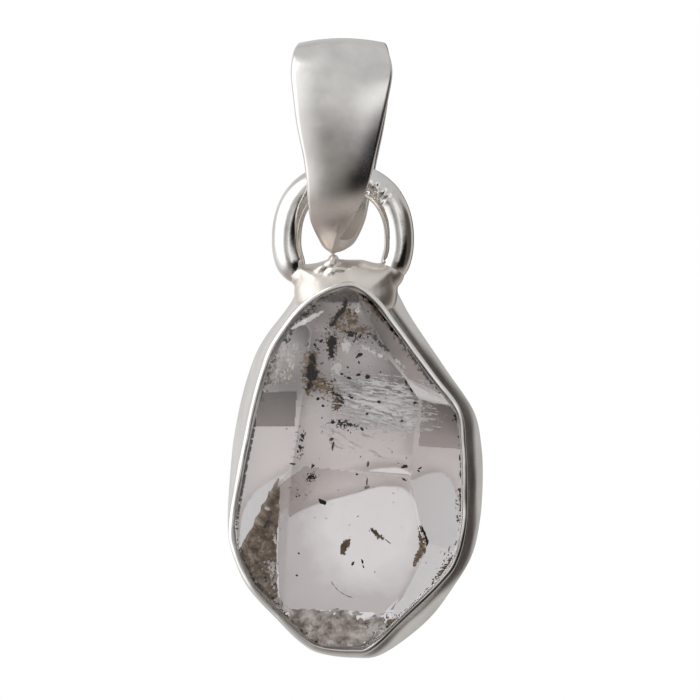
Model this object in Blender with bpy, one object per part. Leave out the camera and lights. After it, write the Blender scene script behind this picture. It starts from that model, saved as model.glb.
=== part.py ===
"""A herkimer diamond in its silver pendant setting, hanging from its bail.

Metres, +Z up. The front of the pendant faces -Y and its width runs along X.
The origin is inside the top of the bail's loop, where a chain or cord bears.
"""
from math import cos, pi, radians, sin

import bmesh
import bpy
from mathutils import Vector

MM = 0.001
SMOOTH_ANGLE = radians(40)

# Gaps between pieces that touch
SOLDERED_GAP = 0.02 * MM
SEAT_GAP = 0.03 * MM

# Bail
BAIL_THICKNESS = 0.52 * MM
BAIL_EDGE_THICKNESS = 0.30 * MM
BAIL_STATIONS = 72
BAIL_ACROSS = 8

# Jump ring
RING_CENTRE_X = -0.05 * MM
RING_CENTRE_Z = -8.06 * MM
RING_RADIUS = 2.37 * MM
RING_RISE = 2.70 * MM
RING_SQUARENESS = 2.3
RING_WIRE_RADIUS = 0.62 * MM
RING_END_ANGLE = radians(39)
RING_STEPS = 54
RING_SIDES = 14

# How far the setting stands forward of the ring's plane, so that the centre of mass of
# what hangs lies in that plane and the pendant hangs plumb
PLUMB_SHIFT = -0.40 * MM

# Setting, from the rim at the front to the back of its frame
RIM_Y = PLUMB_SHIFT - 1.35 * MM
FRAME_FRONT_Y = PLUMB_SHIFT + 2.10 * MM
FRAME_BACK_Y = PLUMB_SHIFT + 2.65 * MM
WALL_THICKNESS = 0.20 * MM
FRAME_EDGE_ROUND = 0.12 * MM
FRAME_FRONT_ROUND = 0.04 * MM
OUTLINE_STEPS = 120
WALL_LEVELS = 7
FLARE_POWER = 2.6

# Crystal
CRYSTAL_BACK_Y = FRAME_FRONT_Y - SEAT_GAP
CRYSTAL_BLOCK_FRONT_Y = PLUMB_SHIFT - 5.0 * MM
CRYSTAL_MIDDLE = Vector((0.2 * MM, -0.5 * MM, -17.5 * MM))

# Neck between the ring and the setting
NECK_FRONT_DEPTH = 1.20 * MM
NECK_BACK_DEPTH = 1.80 * MM
NECK_MIDDLE = Vector((0.12 * MM, -10.60 * MM))
NECK_FULLNESS = 0.6
NECK_LEVELS = 6
NECK_LAST_LEVEL = radians(78)
NECK_STEPS = 64
CUTTER_EXTRA = 1.0 * MM

# The bail's loop, from its front tip over the top: the middle of the band (y, z),
# then the band's left and right edge x, in millimetres
BAIL_LOOP = (
    (0.00, -8.24, -0.86, 0.06),
    (-0.50, -8.04, -1.02, -0.22),
    (-1.24, -7.25, -1.40, 0.28),
    (-1.72, -6.40, -1.52, 0.76),
    (-1.98, -5.60, -1.58, 1.06),
    (-2.12, -4.60, -1.70, 1.30),
    (-2.20, -3.20, -1.99, 1.62),
    (-2.16, -2.00, -2.14, 1.87),
    (-1.92, -0.90, -2.24, 2.03),
    (-1.35, -0.05, -2.14, 1.89),
    (0.00, 0.26, -1.98, 1.80),
    (1.35, -0.05, -2.06, 1.84),
    (1.92, -0.90, -2.16, 1.90),
    (2.16, -2.00, -2.10, 1.86),
    (2.20, -3.20, -1.90, 1.68),
    (2.12, -4.60, -1.62, 1.40),
    (1.98, -5.60, -1.42, 1.22),
    (1.72, -6.40, -1.20, 1.06),
    (1.24, -7.25, -1.00, 0.86),
    (0.50, -8.04, -0.82, 0.46),
)

# The setting seen from the front, going round from the top over the left side: the
# crystal's edge (x, z), then the wall's foot (x, z) beside it, in millimetres
SETTING_OUTLINE = (
    ((0.15, -9.98), (0.15, -9.20)),
    ((-0.85, -10.30), (-1.50, -9.25)),
    ((-1.85, -11.08), (-2.25, -10.62)),
    ((-2.85, -12.45), (-3.32, -12.05)),
    ((-3.28, -13.55), (-3.85, -13.10)),
    ((-3.66, -14.85), (-4.32, -14.65)),
    ((-4.00, -16.50), (-4.65, -16.40)),
    ((-4.32, -18.15), (-4.82, -18.10)),
    ((-4.58, -19.80), (-4.90, -19.70)),
    ((-4.50, -20.85), (-4.78, -20.85)),
    ((-3.82, -22.40), (-4.12, -22.50)),
    ((-2.52, -23.85), (-2.80, -23.98)),
    ((-1.55, -24.72), (-1.80, -24.95)),
    ((-0.85, -25.05), (-1.00, -25.38)),
    ((0.35, -25.15), (0.35, -25.56)),
    ((1.10, -24.98), (1.62, -25.40)),
    ((2.50, -23.65), (3.48, -24.02)),
    ((3.98, -22.22), (4.62, -22.55)),
    ((4.58, -21.35), (5.38, -21.25)),
    ((4.90, -20.00), (5.72, -19.80)),
    ((4.95, -18.15), (5.84, -18.10)),
    ((4.90, -16.65), (5.78, -16.60)),
    ((4.68, -15.20), (5.45, -15.15)),
    ((3.62, -13.78), (4.32, -13.45)),
    ((2.12, -11.75), (2.90, -11.35)),
    ((1.42, -10.78), (2.32, -10.30)),
    ((0.75, -10.18), (1.75, -9.25)),
)

# The window in the back frame, going round from its top over the left side
WINDOW_OUTLINE = (
    (0.50, -18.05), (-0.95, -18.50), (-2.00, -19.00), (-2.62, -19.75), (-2.75, -20.80),
    (-2.70, -21.90), (-2.40, -22.90), (-1.50, -23.55), (0.10, -23.75), (1.50, -23.40),
    (2.50, -22.50), (3.15, -21.35), (3.35, -20.00), (3.20, -18.65), (2.60, -17.85),
    (1.60, -17.75),
)

# The crystal's girdle seen from the front, (x, z) in millimetres
GIRDLE = (
    (0.15, -9.98), (-0.98, -10.36), (-2.10, -11.38), (-3.14, -13.20), (-4.00, -16.50),
    (-4.58, -19.90), (-4.48, -20.90), (-3.78, -22.42), (-1.50, -24.72), (-0.90, -25.04),
    (0.98, -25.06), (3.98, -22.20), (4.58, -21.32), (4.90, -19.95), (4.93, -16.75),
    (4.70, -15.25), (2.10, -11.74), (1.02, -10.36),
)

# Corners of the crystal's front faces, (x, y, z) in millimetres before the plumb shift
TOP_LEFT = (-1.39, -3.35, -11.84)
TOP_RIGHT = (1.09, -3.37, -12.05)
SHOULDER = (3.11, -3.60, -14.49)
MIDDLE_RIGHT = (2.81, -3.90, -17.85)
MIDDLE_LEFT = (-2.18, -3.85, -17.43)
LOWER_LEFT = (-4.45, -2.10, -21.21)
FOOT_LEFT = (-2.48, -2.24, -23.52)
FOOT_RIGHT = (2.02, -2.33, -23.65)
LOWER_RIGHT = (3.45, -3.16, -20.58)
APEX = (0.15, -1.40, -9.98)
BROKEN_LEFT = (-1.09, -2.24, -23.94)
BROKEN_RIGHT = (1.72, -2.33, -23.60)

# The planes of the crystal's faces, each through three such points
FRONT_FACES = (
    (TOP_LEFT, MIDDLE_LEFT, MIDDLE_RIGHT),
    (TOP_LEFT, TOP_RIGHT, APEX),
    (TOP_RIGHT, SHOULDER, (2.68, -1.45, -12.52)),
    (TOP_LEFT, MIDDLE_LEFT, (-4.00, -1.40, -16.50)),
    (SHOULDER, MIDDLE_RIGHT, (4.93, -1.40, -16.75)),
    (MIDDLE_LEFT, MIDDLE_RIGHT, FOOT_RIGHT),
    (MIDDLE_LEFT, LOWER_LEFT, FOOT_LEFT),
    (LOWER_RIGHT, FOOT_RIGHT, (3.98, -1.45, -22.20)),
    (BROKEN_LEFT, BROKEN_RIGHT, (0.05, -1.40, -25.06)),
)
BACK_FACES = (
    ((-2.4, 2.07, -13.2), (-3.4, 2.07, -20.6), (-4.3, 0.50, -18.2)),
    ((3.7, 2.07, -15.8), (3.9, 2.07, -20.4), (4.93, 0.30, -17.5)),
    ((-1.6, 2.07, -11.9), (1.2, 2.07, -11.9), (0.15, 0.50, -10.0)),
    ((1.2, 2.07, -11.9), (3.7, 2.07, -15.8), (3.3, 0.60, -13.2)),
    ((-1.5, 2.07, -23.7), (1.5, 2.07, -23.8), (0.1, 0.60, -25.06)),
    ((3.9, 2.07, -20.6), (1.6, 2.07, -23.6), (3.98, 0.60, -22.2)),
    ((-3.4, 2.07, -20.9), (-1.6, 2.07, -23.6), (-3.7, 0.70, -22.4)),
)

# The neck seen from the front, (x, z) in millimetres; its lower side lies in the wall
NECK_OUTLINE = (
    (0.15, -8.80), (-0.55, -8.76), (-1.10, -8.92), (-1.62, -9.00), (-2.05, -9.10),
    (-2.02, -9.66), (-2.28, -10.55), (-2.60, -11.25), (-2.10, -11.55), (-0.90, -10.60),
    (0.15, -10.30), (1.10, -10.70), (2.20, -11.70), (2.72, -11.30), (2.45, -10.40),
    (2.28, -9.70), (2.20, -9.08), (1.72, -8.98), (1.22, -8.92), (0.75, -8.80),
)


def clear_scene():
    for item in list(bpy.data.objects):
        bpy.data.objects.remove(item, do_unlink=True)


def make_material(name, colour, roughness, metallic, transmission=0.0):
    material = bpy.data.materials.new(name)
    material.use_nodes = True
    shader = material.node_tree.nodes["Principled BSDF"]
    shader.inputs["Base Color"].default_value = (*colour, 1.0)
    shader.inputs["Roughness"].default_value = roughness
    shader.inputs["Metallic"].default_value = metallic
    shader.inputs["Transmission Weight"].default_value = transmission
    return material


def add_object(name, bm, material, smooth_angle=None):
    bmesh.ops.recalc_face_normals(bm, faces=bm.faces[:])
    mesh = bpy.data.meshes.new(name)
    bm.to_mesh(mesh)
    bm.free()
    if smooth_angle is not None:
        mesh.shade_smooth()
        mesh.set_sharp_from_angle(angle=smooth_angle)
    mesh.materials.append(material)
    item = bpy.data.objects.new(name, mesh)
    bpy.context.collection.objects.link(item)
    return item


def curve_point(points, place):
    """A point on the closed smooth curve that passes through all the points."""
    count = len(points)
    index = int(place) % count
    t = place - int(place)
    before = Vector(points[index - 1])
    start = Vector(points[index])
    end = Vector(points[(index + 1) % count])
    after = Vector(points[(index + 2) % count])
    bend = 2 * before - 5 * start + 4 * end - after
    twist = 3 * start - before - 3 * end + after
    return start + 0.5 * t * ((end - before) + t * (bend + t * twist))


def closed_curve(points, steps):
    return [curve_point(points, i * len(points) / steps) for i in range(steps)]


def grow(outline, distance):
    """Move each point of a closed outline outward, square to the outline."""
    count = len(outline)
    grown = []
    for i, point in enumerate(outline):
        along = (outline[(i + 1) % count] - outline[i - 1]).normalized()
        grown.append(point + distance * Vector((along.y, -along.x)))
    return grown


def bridge_rings(bm, rings, closed):
    """Join rings of vertices with quads. Closed joins the last ring to the first."""
    count = len(rings[0])
    pairs = list(zip(rings, rings[1:]))
    if closed:
        pairs.append((rings[-1], rings[0]))
    for low, high in pairs:
        for i in range(count):
            j = (i + 1) % count
            bm.faces.new((low[i], low[j], high[j], high[i]))


def add_ring(bm, points):
    return [bm.verts.new(point) for point in points]


def crystal_edge():
    return closed_curve([Vector(edge) * MM for edge, foot in SETTING_OUTLINE], OUTLINE_STEPS)


def wall_foot():
    return closed_curve([Vector(foot) * MM for edge, foot in SETTING_OUTLINE], OUTLINE_STEPS)


def at_depth(outline, y):
    return [(point.x, y, point.y) for point in outline]


def wall_outside(extra=0.0):
    """Rings (outline, y) of the wall's outer side, from its rim to its foot."""
    rim = grow(crystal_edge(), SEAT_GAP + WALL_THICKNESS + extra)
    foot = grow(wall_foot(), extra)
    rings = []
    for level in range(WALL_LEVELS + 1):
        t = level / WALL_LEVELS
        flare = t ** FLARE_POWER
        outline = [a.lerp(b, flare) for a, b in zip(rim, foot)]
        rings.append((outline, RIM_Y + t * (FRAME_FRONT_Y - SOLDERED_GAP - RIM_Y)))
    return rings


def make_bail(material):
    """One band folded into a loop, domed across its outer side."""
    bm = bmesh.new()
    rings = []
    for i in range(BAIL_STATIONS):
        place = i * len(BAIL_LOOP) / BAIL_STATIONS
        step = len(BAIL_LOOP) / BAIL_STATIONS
        y, z, left, right = curve_point(BAIL_LOOP, place) * MM
        ahead = curve_point(BAIL_LOOP, place + step)
        behind = curve_point(BAIL_LOOP, place + len(BAIL_LOOP) - step)
        along = Vector((ahead[0] - behind[0], ahead[1] - behind[1])).normalized()
        out = Vector((-along.y, along.x))
        outer = []
        inner = []
        for k in range(BAIL_ACROSS + 1):
            u = -1 + 2 * k / BAIL_ACROSS
            x = (left + right) / 2 + u * (right - left) / 2
            dome = BAIL_EDGE_THICKNESS + (BAIL_THICKNESS - BAIL_EDGE_THICKNESS) * (1 - u * u)
            top = dome - BAIL_THICKNESS / 2
            low = -BAIL_THICKNESS / 2
            outer.append((x, y + top * out.x, z + top * out.y))
            inner.append((x, y + low * out.x, z + low * out.y))
        rings.append(add_ring(bm, outer + inner[::-1]))
    bridge_rings(bm, rings, closed=True)
    return add_object("bail", bm, material, SMOOTH_ANGLE)


def ring_middle(angle):
    """A point of the wire's middle line: a circle below, drawn out and squarer above."""
    if sin(angle) <= 0:
        x, z = RING_RADIUS * cos(angle), RING_RADIUS * sin(angle)
    else:
        part = abs(cos(angle)) ** RING_SQUARENESS + sin(angle) ** RING_SQUARENESS
        reach = part ** (-1 / RING_SQUARENESS)
        x, z = RING_RADIUS * reach * cos(angle), RING_RISE * reach * sin(angle)
    return Vector((RING_CENTRE_X + x, 0.0, RING_CENTRE_Z + z))


def make_ring_mesh(wire_radius):
    """The wire's arc, from its lower right end over the top to its lower left end."""
    bm = bmesh.new()
    rings = []
    sweep = pi + 2 * RING_END_ANGLE
    step = sweep / RING_STEPS
    for i in range(RING_STEPS + 1):
        angle = i * step - RING_END_ANGLE
        centre = ring_middle(angle)
        along = (ring_middle(angle + step / 2) - ring_middle(angle - step / 2)).normalized()
        outward = Vector((along.z, 0.0, -along.x))
        ring = []
        for k in range(RING_SIDES):
            turn = 2 * pi * k / RING_SIDES
            ring.append(centre + wire_radius * (cos(turn) * outward + sin(turn) * Vector((0, 1, 0))))
        rings.append(add_ring(bm, ring))
    bridge_rings(bm, rings, closed=False)
    bm.faces.new(rings[0])
    bm.faces.new(rings[-1])
    return bm


def make_jump_ring(material):
    return add_object("jump_ring", make_ring_mesh(RING_WIRE_RADIUS), material, SMOOTH_ANGLE)


def make_bezel_wall(material):
    """A thin strip round the crystal: steep at its rim, flared at its foot."""
    bm = bmesh.new()
    pocket = grow(crystal_edge(), SEAT_GAP)
    rings = [add_ring(bm, at_depth(outline, y)) for outline, y in wall_outside()]
    back = FRAME_FRONT_Y - SOLDERED_GAP
    for level in range(WALL_LEVELS + 1):
        t = level / WALL_LEVELS
        rings.append(add_ring(bm, at_depth(pocket, back + t * (RIM_Y - back))))
    bridge_rings(bm, rings, closed=True)
    return add_object("bezel_wall", bm, material, SMOOTH_ANGLE)


def make_back_frame(material):
    """A plate with rounded edges and a window behind the crystal's lower half."""
    bm = bmesh.new()
    foot = wall_foot()
    window = closed_curve([Vector(point) * MM for point in WINDOW_OUTLINE], OUTLINE_STEPS)
    rounded = FRAME_EDGE_ROUND
    levels = (
        (grow(foot, -FRAME_FRONT_ROUND), FRAME_FRONT_Y),
        (foot, FRAME_FRONT_Y + rounded),
        (foot, FRAME_BACK_Y - rounded),
        (grow(foot, -rounded), FRAME_BACK_Y),
        (grow(window, rounded), FRAME_BACK_Y),
        (window, FRAME_BACK_Y - rounded),
        (window, FRAME_FRONT_Y),
    )
    rings = [add_ring(bm, at_depth(outline, y)) for outline, y in levels]
    bridge_rings(bm, rings, closed=True)
    return add_object("back_frame", bm, material, SMOOTH_ANGLE)


def cut_by_face(bm, three_points):
    """Cut the crystal by a plane and keep the side that its middle is on."""
    shift = Vector((0.0, PLUMB_SHIFT, 0.0))
    a, b, c = (Vector(point) * MM + shift for point in three_points)
    normal = (b - a).cross(c - a).normalized()
    if normal.dot(CRYSTAL_MIDDLE - a) > 0:
        normal.negate()
    geometry = bm.verts[:] + bm.edges[:] + bm.faces[:]
    cut = bmesh.ops.bisect_plane(
        bm, geom=geometry, dist=1e-7, plane_co=a, plane_no=normal, clear_outer=True
    )
    edges = [part for part in cut["geom_cut"] if isinstance(part, bmesh.types.BMEdge)]
    if edges:
        bmesh.ops.contextual_create(bm, geom=edges)


def make_crystal(material):
    """A block with the girdle's outline, cut by the crystal's faces."""
    bm = bmesh.new()
    front = add_ring(bm, [(x * MM, CRYSTAL_BLOCK_FRONT_Y, z * MM) for x, z in GIRDLE])
    back = add_ring(bm, [(x * MM, CRYSTAL_BACK_Y, z * MM) for x, z in GIRDLE])
    bridge_rings(bm, [front, back], closed=False)
    bm.faces.new(front)
    bm.faces.new(back)
    bmesh.ops.recalc_face_normals(bm, faces=bm.faces[:])
    for face in FRONT_FACES + BACK_FACES:
        cut_by_face(bm, face)
    return add_object("herkimer_crystal", bm, material)


def add_cutter(name, bm):
    bmesh.ops.recalc_face_normals(bm, faces=bm.faces[:])
    mesh = bpy.data.meshes.new(name)
    bm.to_mesh(mesh)
    bm.free()
    cutter = bpy.data.objects.new(name, mesh)
    bpy.context.collection.objects.link(cutter)
    cutter.hide_render = True
    cutter.display_type = "WIRE"
    return cutter


def make_wall_cutter():
    """The space that the wall and what it holds take up, grown by the solder gap."""
    bm = bmesh.new()
    rings = [add_ring(bm, at_depth(outline, y)) for outline, y in wall_outside(SOLDERED_GAP)]
    before = grow(crystal_edge(), SEAT_GAP + WALL_THICKNESS + SOLDERED_GAP)
    rings.insert(0, add_ring(bm, at_depth(before, RIM_Y - CUTTER_EXTRA)))
    after = grow(wall_foot(), SOLDERED_GAP)
    rings.append(add_ring(bm, at_depth(after, FRAME_BACK_Y + CUTTER_EXTRA)))
    bridge_rings(bm, rings, closed=False)
    bm.faces.new(rings[0])
    bm.faces.new(rings[-1])
    return add_cutter("wall_space", bm)


def make_neck(material):
    """The soldered lump that holds the wire's ends above the setting."""
    bm = bmesh.new()
    outline = closed_curve([Vector(point) * MM for point in NECK_OUTLINE], NECK_STEPS)
    rings = []
    for level in range(-NECK_LEVELS, NECK_LEVELS + 1):
        turn = NECK_LAST_LEVEL * level / NECK_LEVELS
        depth = NECK_FRONT_DEPTH if level < 0 else NECK_BACK_DEPTH
        scale = cos(turn) ** NECK_FULLNESS
        slice_outline = [NECK_MIDDLE + scale * (point - NECK_MIDDLE) for point in outline]
        rings.append(add_ring(bm, at_depth(slice_outline, depth * sin(turn))))
    bridge_rings(bm, rings, closed=False)
    bm.faces.new(rings[0])
    bm.faces.new(rings[-1])
    neck = add_object("neck", bm, material, SMOOTH_ANGLE)
    cutters = (
        make_wall_cutter(),
        add_cutter("wire_space", make_ring_mesh(RING_WIRE_RADIUS + SOLDERED_GAP)),
    )
    for cutter in cutters:
        cut = neck.modifiers.new(cutter.name, "BOOLEAN")
        cut.operation = "DIFFERENCE"
        cut.solver = "EXACT"
        cut.object = cutter
    return neck


def main():
    clear_scene()
    silver = make_material("silver", (0.86, 0.85, 0.83), 0.18, 1.0)
    quartz = make_material("quartz", (0.93, 0.91, 0.92), 0.03, 0.0, 1.0)
    hinge = bpy.data.objects.new("pendant_hinge", None)
    bpy.context.collection.objects.link(hinge)
    hinge.location = (0.0, 0.0, RING_CENTRE_Z + RING_RISE)
    make_bail(silver)
    hanging = (
        make_jump_ring(silver),
        make_neck(silver),
        make_bezel_wall(silver),
        make_back_frame(silver),
        make_crystal(quartz),
    )
    bpy.context.view_layer.update()
    for item in hanging:
        item.parent = hinge
        item.matrix_parent_inverse = hinge.matrix_world.inverted()


main()
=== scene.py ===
from math import cos, exp, pi, radians, sin, sqrt
import random

import bmesh
import bpy
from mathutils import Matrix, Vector, noise
from mathutils.bvhtree import BVHTree


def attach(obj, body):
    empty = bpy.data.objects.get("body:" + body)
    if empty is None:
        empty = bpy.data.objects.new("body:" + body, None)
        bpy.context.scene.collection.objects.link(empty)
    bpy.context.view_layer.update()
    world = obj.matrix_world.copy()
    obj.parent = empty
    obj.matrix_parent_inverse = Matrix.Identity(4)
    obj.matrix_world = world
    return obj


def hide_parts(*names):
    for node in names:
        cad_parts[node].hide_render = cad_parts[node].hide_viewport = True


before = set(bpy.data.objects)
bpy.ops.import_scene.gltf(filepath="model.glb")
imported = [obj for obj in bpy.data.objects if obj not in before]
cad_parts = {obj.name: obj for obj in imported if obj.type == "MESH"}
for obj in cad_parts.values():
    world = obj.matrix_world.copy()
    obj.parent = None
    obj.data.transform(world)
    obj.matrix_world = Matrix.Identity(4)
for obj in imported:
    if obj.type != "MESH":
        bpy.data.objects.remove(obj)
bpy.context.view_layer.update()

# Without a seed, the noise that wobble uses starts elsewhere on each run
noise.seed_set(1)

MM = 0.001

# Camera: level with the pendant's middle and square to its front
PHOTO_PIXELS = 700
MM_PER_PIXEL = 0.042
VIEW_CENTRE_X = 0.25 * MM
VIEW_CENTRE_Z = -12.6 * MM
CAMERA_DISTANCE = 1.2
SENSOR_WIDTH = 36.0

# Sizes that the solids have too
PLUMB_SHIFT = -0.4 * MM
RIM_Y = PLUMB_SHIFT - 1.35 * MM
FRAME_FRONT_Y = PLUMB_SHIFT + 2.1 * MM
FRAME_BACK_Y = PLUMB_SHIFT + 2.65 * MM
SEAT_GAP = 0.03 * MM
WALL_THICKNESS = 0.2 * MM
FLARE_POWER = 2.6
BAIL_THICKNESS = 0.52 * MM
BAIL_EDGE_THICKNESS = 0.3 * MM
RING_CENTRE_X = -0.05 * MM
RING_CENTRE_Z = -8.06 * MM
RING_RADIUS = 2.37 * MM
RING_RISE = 2.7 * MM
RING_SQUARENESS = 2.3
RING_WIRE_RADIUS = 0.62 * MM
RING_END_ANGLE = radians(39)
NECK_FRONT_DEPTH = 1.2 * MM
NECK_BACK_DEPTH = 1.8 * MM
NECK_MIDDLE = Vector((0.12 * MM, -10.6 * MM))

# The bail's loop from its front tip over the top: the band's middle (y, z), then its
# left and right edge x, in millimetres
BAIL_LOOP = (
    (0.0, -8.24, -0.86, 0.06), (-0.5, -8.04, -1.02, -0.22), (-1.24, -7.25, -1.4, 0.28),
    (-1.72, -6.4, -1.52, 0.76), (-1.98, -5.6, -1.58, 1.06), (-2.12, -4.6, -1.7, 1.3),
    (-2.2, -3.2, -1.99, 1.62), (-2.16, -2.0, -2.14, 1.87), (-1.92, -0.9, -2.24, 2.03),
    (-1.35, -0.05, -2.14, 1.89), (0.0, 0.26, -1.98, 1.8), (1.35, -0.05, -2.06, 1.84),
    (1.92, -0.9, -2.16, 1.9), (2.16, -2.0, -2.1, 1.86), (2.2, -3.2, -1.9, 1.68),
    (2.12, -4.6, -1.62, 1.4), (1.98, -5.6, -1.42, 1.22), (1.72, -6.4, -1.2, 1.06),
    (1.24, -7.25, -1.0, 0.86), (0.5, -8.04, -0.82, 0.46),
)

# The setting from the front, from the top over the left side: the crystal's edge (x, z),
# then the wall's foot (x, z) beside it, in millimetres
SETTING_OUTLINE = (
    ((0.15, -9.98), (0.15, -9.2)), ((-0.85, -10.3), (-1.5, -9.25)),
    ((-1.85, -11.08), (-2.25, -10.62)), ((-2.85, -12.45), (-3.32, -12.05)),
    ((-3.28, -13.55), (-3.85, -13.1)), ((-3.66, -14.85), (-4.32, -14.65)),
    ((-4.0, -16.5), (-4.65, -16.4)), ((-4.32, -18.15), (-4.82, -18.1)),
    ((-4.58, -19.8), (-4.9, -19.7)), ((-4.5, -20.85), (-4.78, -20.85)),
    ((-3.82, -22.4), (-4.12, -22.5)), ((-2.52, -23.85), (-2.8, -23.98)),
    ((-1.55, -24.72), (-1.8, -24.95)), ((-0.85, -25.05), (-1.0, -25.38)),
    ((0.35, -25.15), (0.35, -25.56)), ((1.1, -24.98), (1.62, -25.4)),
    ((2.5, -23.65), (3.48, -24.02)), ((3.98, -22.22), (4.62, -22.55)),
    ((4.58, -21.35), (5.38, -21.25)), ((4.9, -20.0), (5.72, -19.8)),
    ((4.95, -18.15), (5.84, -18.1)), ((4.9, -16.65), (5.78, -16.6)),
    ((4.68, -15.2), (5.45, -15.15)), ((3.62, -13.78), (4.32, -13.45)),
    ((2.12, -11.75), (2.9, -11.35)), ((1.42, -10.78), (2.32, -10.3)),
    ((0.75, -10.18), (1.75, -9.25)),
)
EDGE_OUTLINE, FOOT_OUTLINE = zip(*SETTING_OUTLINE)

# The window in the back frame, going round from its top over the left side
WINDOW_OUTLINE = (
    (0.5, -18.05), (-0.95, -18.5), (-2.0, -19.0), (-2.62, -19.75), (-2.75, -20.8),
    (-2.7, -21.9), (-2.4, -22.9), (-1.5, -23.55), (0.1, -23.75), (1.5, -23.4),
    (2.5, -22.5), (3.15, -21.35), (3.35, -20.0), (3.2, -18.65), (2.6, -17.85),
    (1.6, -17.75),
)

# The solder between the ring and the wall, from the front
NECK_OUTLINE = (
    (0.15, -8.8), (-0.55, -8.76), (-1.1, -8.92), (-1.62, -9.0), (-2.05, -9.1),
    (-2.02, -9.66), (-2.1, -10.2), (-1.9, -10.75), (-0.9, -10.6), (0.15, -10.3),
    (1.1, -10.7), (2.0, -10.9), (2.25, -10.3), (2.22, -9.7), (2.2, -9.08),
    (1.72, -8.98), (1.22, -8.92), (0.75, -8.8),
)

# Inclusions in the crystal, in millimetres: a sheet's thickness, and how far its corners
# may lie apart in depth before that piece is left out
SHEET_THICKNESS = 0.02
STEEPEST = 0.25

# Pixels over which a film fades in from the edge of a spot that has corners
CORNER_FADE = 8

# The ring's plier marks, in pixels of the photograph
PLIER_MARKS = (381, 190)


# General tools

def curve_point(points, place):
    """A point on the closed smooth curve that passes through all the points."""
    count = len(points)
    index = int(place) % count
    t = place - int(place)
    before = Vector(points[index - 1])
    start = Vector(points[index])
    end = Vector(points[(index + 1) % count])
    after = Vector(points[(index + 2) % count])
    bend = 2 * before - 5 * start + 4 * end - after
    twist = 3 * start - before - 3 * end + after
    return start + 0.5 * t * ((end - before) + t * (bend + t * twist))


def closed_curve(points, steps):
    """Places in metres on the closed smooth curve through points in millimetres."""
    points = [Vector(point) * MM for point in points]
    return [curve_point(points, i * len(points) / steps) for i in range(steps)]


def grow(outline, distance):
    """Move each point of a closed outline outward, square to the outline."""
    count = len(outline)
    grown = []
    for i, point in enumerate(outline):
        along = (outline[(i + 1) % count] - outline[i - 1]).normalized()
        grown.append(point + distance * Vector((along.y, -along.x)))
    return grown


def at_depth(outline, y):
    """An outline of (x, z) points, as places in space at depth y."""
    return [Vector((point.x, y, point.y)) for point in outline]


def bridge(rings, closed):
    """A new mesh of quads between rings. Closed joins the last ring to the first."""
    bm = bmesh.new()
    rings = [[bm.verts.new(point) for point in ring] for ring in rings]
    count = len(rings[0])
    pairs = list(zip(rings, rings[1:]))
    if closed:
        pairs.append((rings[-1], rings[0]))
    for low, high in pairs:
        for i in range(count):
            j = (i + 1) % count
            bm.faces.new((low[i], low[j], high[j], high[i]))
    if not closed:
        bm.faces.new(rings[0])
        bm.faces.new(rings[-1])
    return bm


def add_piece(name, bm, material, body, smooth=True, sharp=50):
    bmesh.ops.recalc_face_normals(bm, faces=bm.faces[:])
    mesh = bpy.data.meshes.new(name)
    bm.to_mesh(mesh)
    bm.free()
    if smooth:
        mesh.shade_smooth()
        mesh.set_sharp_from_angle(angle=radians(sharp))
    mesh.materials.append(material)
    piece = bpy.data.objects.new(name, mesh)
    bpy.context.scene.collection.objects.link(piece)
    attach(piece, body)
    return piece


def wobble(point, size, amount, seed):
    """A smooth random shift of a point, for hand-worked metal."""
    where = point / size + Vector((seed, 2.3 * seed, -1.7 * seed))
    return amount * noise.noise_vector(where)


def from_photo(px, py, y):
    """The place at depth y that shows at a pixel of the photograph."""
    scale = (CAMERA_DISTANCE + y) / (CAMERA_DISTANCE + RIM_Y)
    x = VIEW_CENTRE_X + scale * (px - PHOTO_PIXELS / 2) * MM_PER_PIXEL * MM
    z = VIEW_CENTRE_Z + scale * (PHOTO_PIXELS / 2 - py) * MM_PER_PIXEL * MM
    return Vector((x, y, z))


# Materials

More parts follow.
